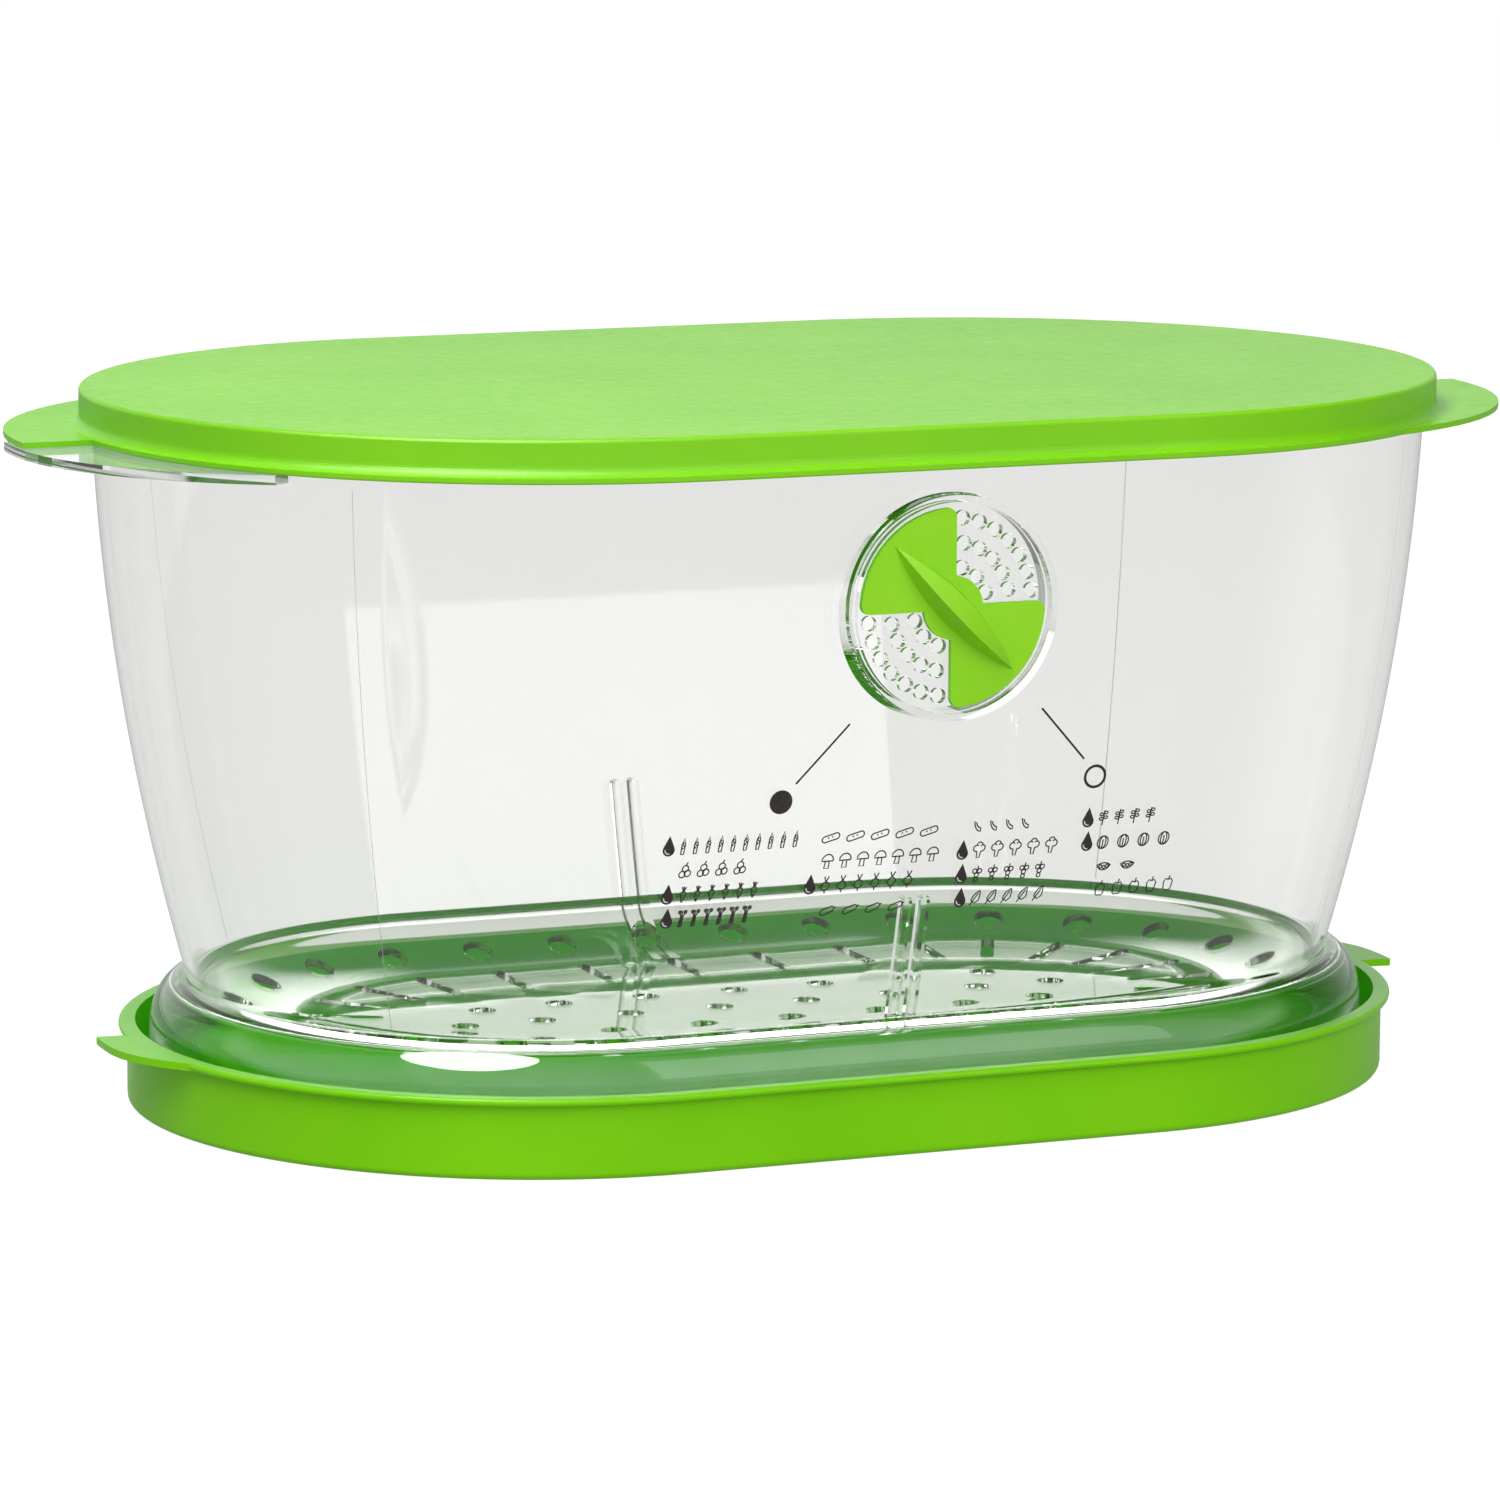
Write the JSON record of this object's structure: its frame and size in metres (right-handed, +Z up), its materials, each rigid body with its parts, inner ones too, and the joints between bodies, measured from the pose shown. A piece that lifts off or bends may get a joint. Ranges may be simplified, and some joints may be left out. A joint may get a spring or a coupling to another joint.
{
  "type": "produce keeper",
  "caption": "Oval clear food bin standing in a low water tray, with perforated raised floor, press-on tabbed lid and a turning vent in its front wall.",
  "frame": {"origin": "centre of the tray's underside, on the surface that the keeper stands on", "axes": "+X along the long way to the end on the right of the vent, +Y from the vented front wall to the rear, +Z up"},
  "size_m": [0.3802, 0.2279, 0.174],
  "materials": {
    "tray": "gloss",
    "bin": "clear gloss",
    "lid": "satin",
    "vent_dial": "satin"
  },
  "bodies": {
    "keeper": {"tray": "tray", "bin": "bin"},
    "lid": {"lid": "lid"},
    "vent": {"vent_dial": "vent_dial"}
  },
  "joints": [
    {"name": "lid_lift", "type": "slide", "parent": "keeper", "child": "lid", "axis": [0, 0, 1], "range_m": [0, 0.06]},
    {"name": "vent_turn", "type": "hinge", "parent": "keeper", "child": "vent", "pos_m": [0, -0.1075, 0.1313], "axis": [0, 1, 0], "range_deg": [0, 90]}
  ]
}
